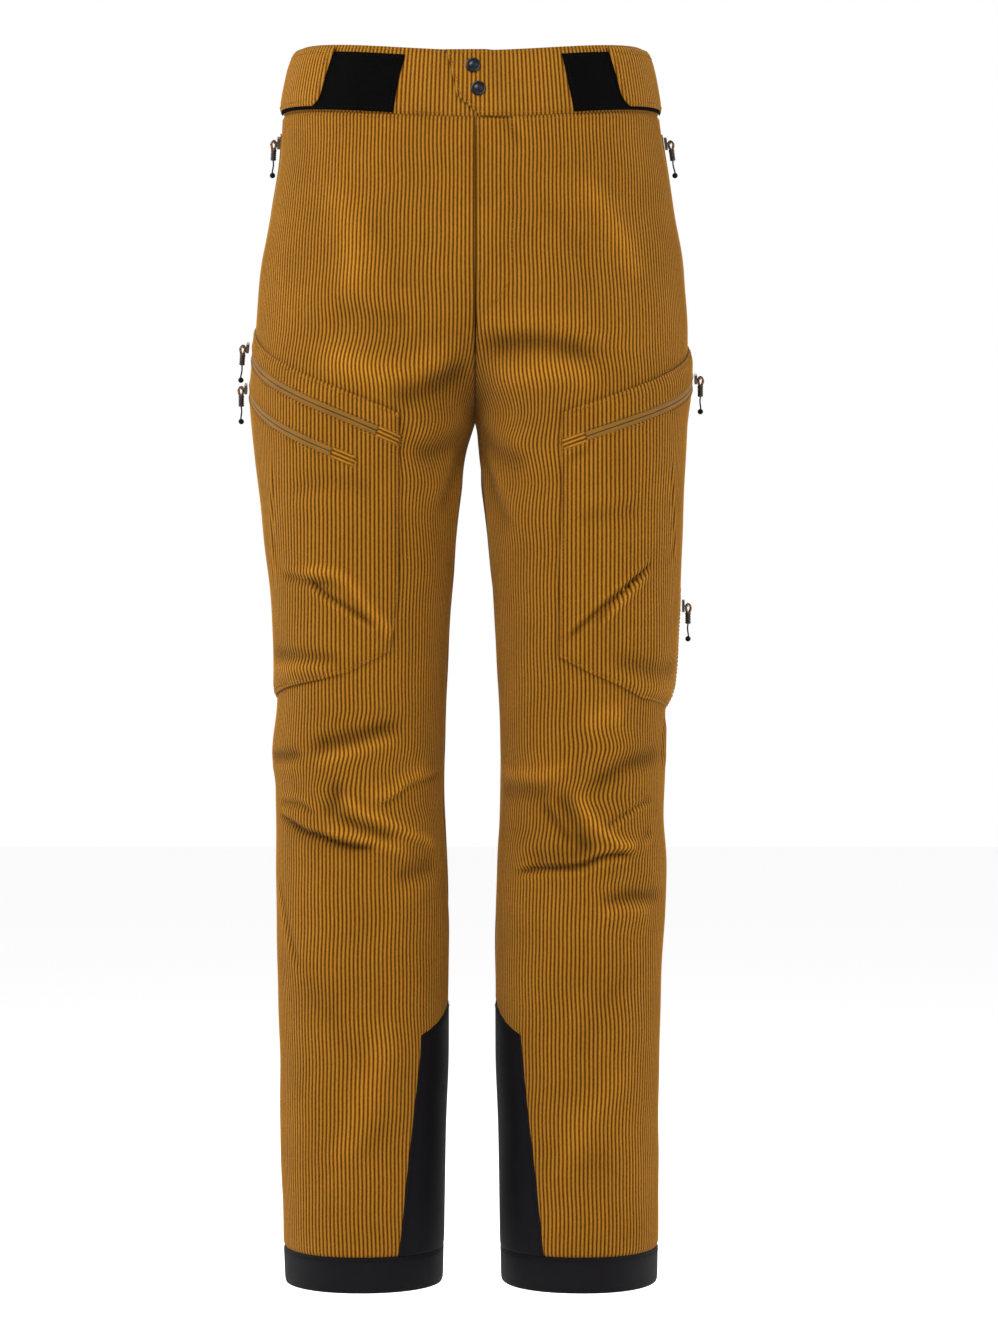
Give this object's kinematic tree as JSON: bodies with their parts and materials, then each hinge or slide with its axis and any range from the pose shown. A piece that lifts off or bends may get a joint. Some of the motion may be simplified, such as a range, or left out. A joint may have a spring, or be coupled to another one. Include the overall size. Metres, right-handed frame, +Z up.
{
  "type": "corduroy touring trousers",
  "caption": "Filled-out corduroy ski touring trousers with slanted cargo pockets, snap waistband, hem bands, scuff guards and swinging cord zip pulls",
  "frame": {"origin": "middle of the waist opening, level with its top edge at the outseams", "axes": "+Z up along the legs, -Y the front of the wearer, +X the wearer's left"},
  "size_m": [0.4024, 0.2609, 1.071],
  "materials": {
    "corduroy": "wide-wale cotton corduroy, mustard, soft pile",
    "corduroy_trim": "the same corduroy, stitched flat in small tabs",
    "loop_fabric": "black brushed loop tape",
    "shell_fabric": "black dense nylon weave",
    "zip_tape": "ochre coated zip tape, matt",
    "snap_metal": "gunmetal, satin",
    "slider_metal": "bronze brown coated metal",
    "pull_cord": "brown braided cord",
    "pull_rubber": "dark brown ribbed rubber",
    "pull_string": "black thin string and ball"
  },
  "bodies": {
    "root": {"adjuster_tab_left": "corduroy_trim", "adjuster_tab_right": "corduroy_trim", "back_left": "corduroy", "back_right": "corduroy", "cargo_pocket_left": "corduroy", "cargo_pocket_right": "corduroy", "front_left": "corduroy", "front_right": "corduroy", "hem_band_left": "shell_fabric", "hem_band_right": "shell_fabric", "loop_patch_left": "loop_fabric", "loop_patch_right": "loop_fabric", "scuff_guard_left": "shell_fabric", "scuff_guard_right": "shell_fabric", "slider_cargo_left_side": "slider_metal", "slider_cargo_left_upper": "slider_metal", "slider_cargo_right_lower": "slider_metal", "slider_cargo_right_upper": "slider_metal", "slider_hand_left": "slider_metal", "slider_hand_right": "slider_metal", "snap_lower": "snap_metal", "snap_upper": "snap_metal", "waistband_back": "corduroy", "waistband_front_left": "corduroy", "waistband_front_right": "corduroy", "zip_cargo_left_side": "zip_tape", "zip_cargo_left_upper": "zip_tape", "zip_cargo_right_lower": "zip_tape", "zip_cargo_right_upper": "zip_tape", "zip_end_cargo_left_upper": "corduroy_trim", "zip_end_cargo_right_lower": "corduroy_trim", "zip_end_cargo_right_upper": "corduroy_trim", "zip_hand_left": "zip_tape", "zip_hand_right": "zip_tape"},
    "pull_cargo_left_side": {"pull_loop_cargo_left_side": "pull_cord", "pull_grip_cargo_left_side": "pull_rubber", "pull_ball_cargo_left_side": "pull_string"},
    "pull_cargo_left_upper": {"pull_loop_cargo_left_upper": "pull_cord", "pull_grip_cargo_left_upper": "pull_rubber", "pull_ball_cargo_left_upper": "pull_string"},
    "pull_cargo_right_lower": {"pull_loop_cargo_right_lower": "pull_cord", "pull_grip_cargo_right_lower": "pull_rubber", "pull_ball_cargo_right_lower": "pull_string"},
    "pull_cargo_right_upper": {"pull_loop_cargo_right_upper": "pull_cord", "pull_grip_cargo_right_upper": "pull_rubber", "pull_ball_cargo_right_upper": "pull_string"},
    "pull_hand_left": {"pull_loop_hand_left": "pull_cord", "pull_grip_hand_left": "pull_rubber", "pull_ball_hand_left": "pull_string"},
    "pull_hand_right": {"pull_loop_hand_right": "pull_cord", "pull_grip_hand_right": "pull_rubber", "pull_ball_hand_right": "pull_string"}
  },
  "joints": [
    {"name": "swing_cargo_left_side", "type": "hinge", "parent": "root", "child": "pull_cargo_left_side", "pos_m": [0.18616, -0.01204, -0.47822], "axis": [-0.0315, -0.9995, 0], "range_deg": [0, 140]},
    {"name": "swing_cargo_left_upper", "type": "hinge", "parent": "root", "child": "pull_cargo_left_upper", "pos_m": [0.19738, -0.0023, -0.28183], "axis": [-0.0138, -0.9999, 0], "range_deg": [0, 140]},
    {"name": "swing_cargo_right_lower", "type": "hinge", "parent": "root", "child": "pull_cargo_right_lower", "pos_m": [-0.19938, -0.00241, -0.29039], "axis": [-0.0133, 0.9999, 0], "range_deg": [0, 120]},
    {"name": "swing_cargo_right_upper", "type": "hinge", "parent": "root", "child": "pull_cargo_right_upper", "pos_m": [-0.19789, -0.001, -0.25461], "axis": [-0.0141, 0.9999, 0], "range_deg": [0, 140]},
    {"name": "swing_hand_left", "type": "hinge", "parent": "root", "child": "pull_hand_left", "pos_m": [0.1716, -0.00067, -0.07786], "axis": [-0.0169, -0.9999, 0], "range_deg": [0, 140]},
    {"name": "swing_hand_right", "type": "hinge", "parent": "root", "child": "pull_hand_right", "pos_m": [-0.17114, -0.00071, -0.07757], "axis": [-0.0178, 0.9998, 0], "range_deg": [0, 140]}
  ]
}
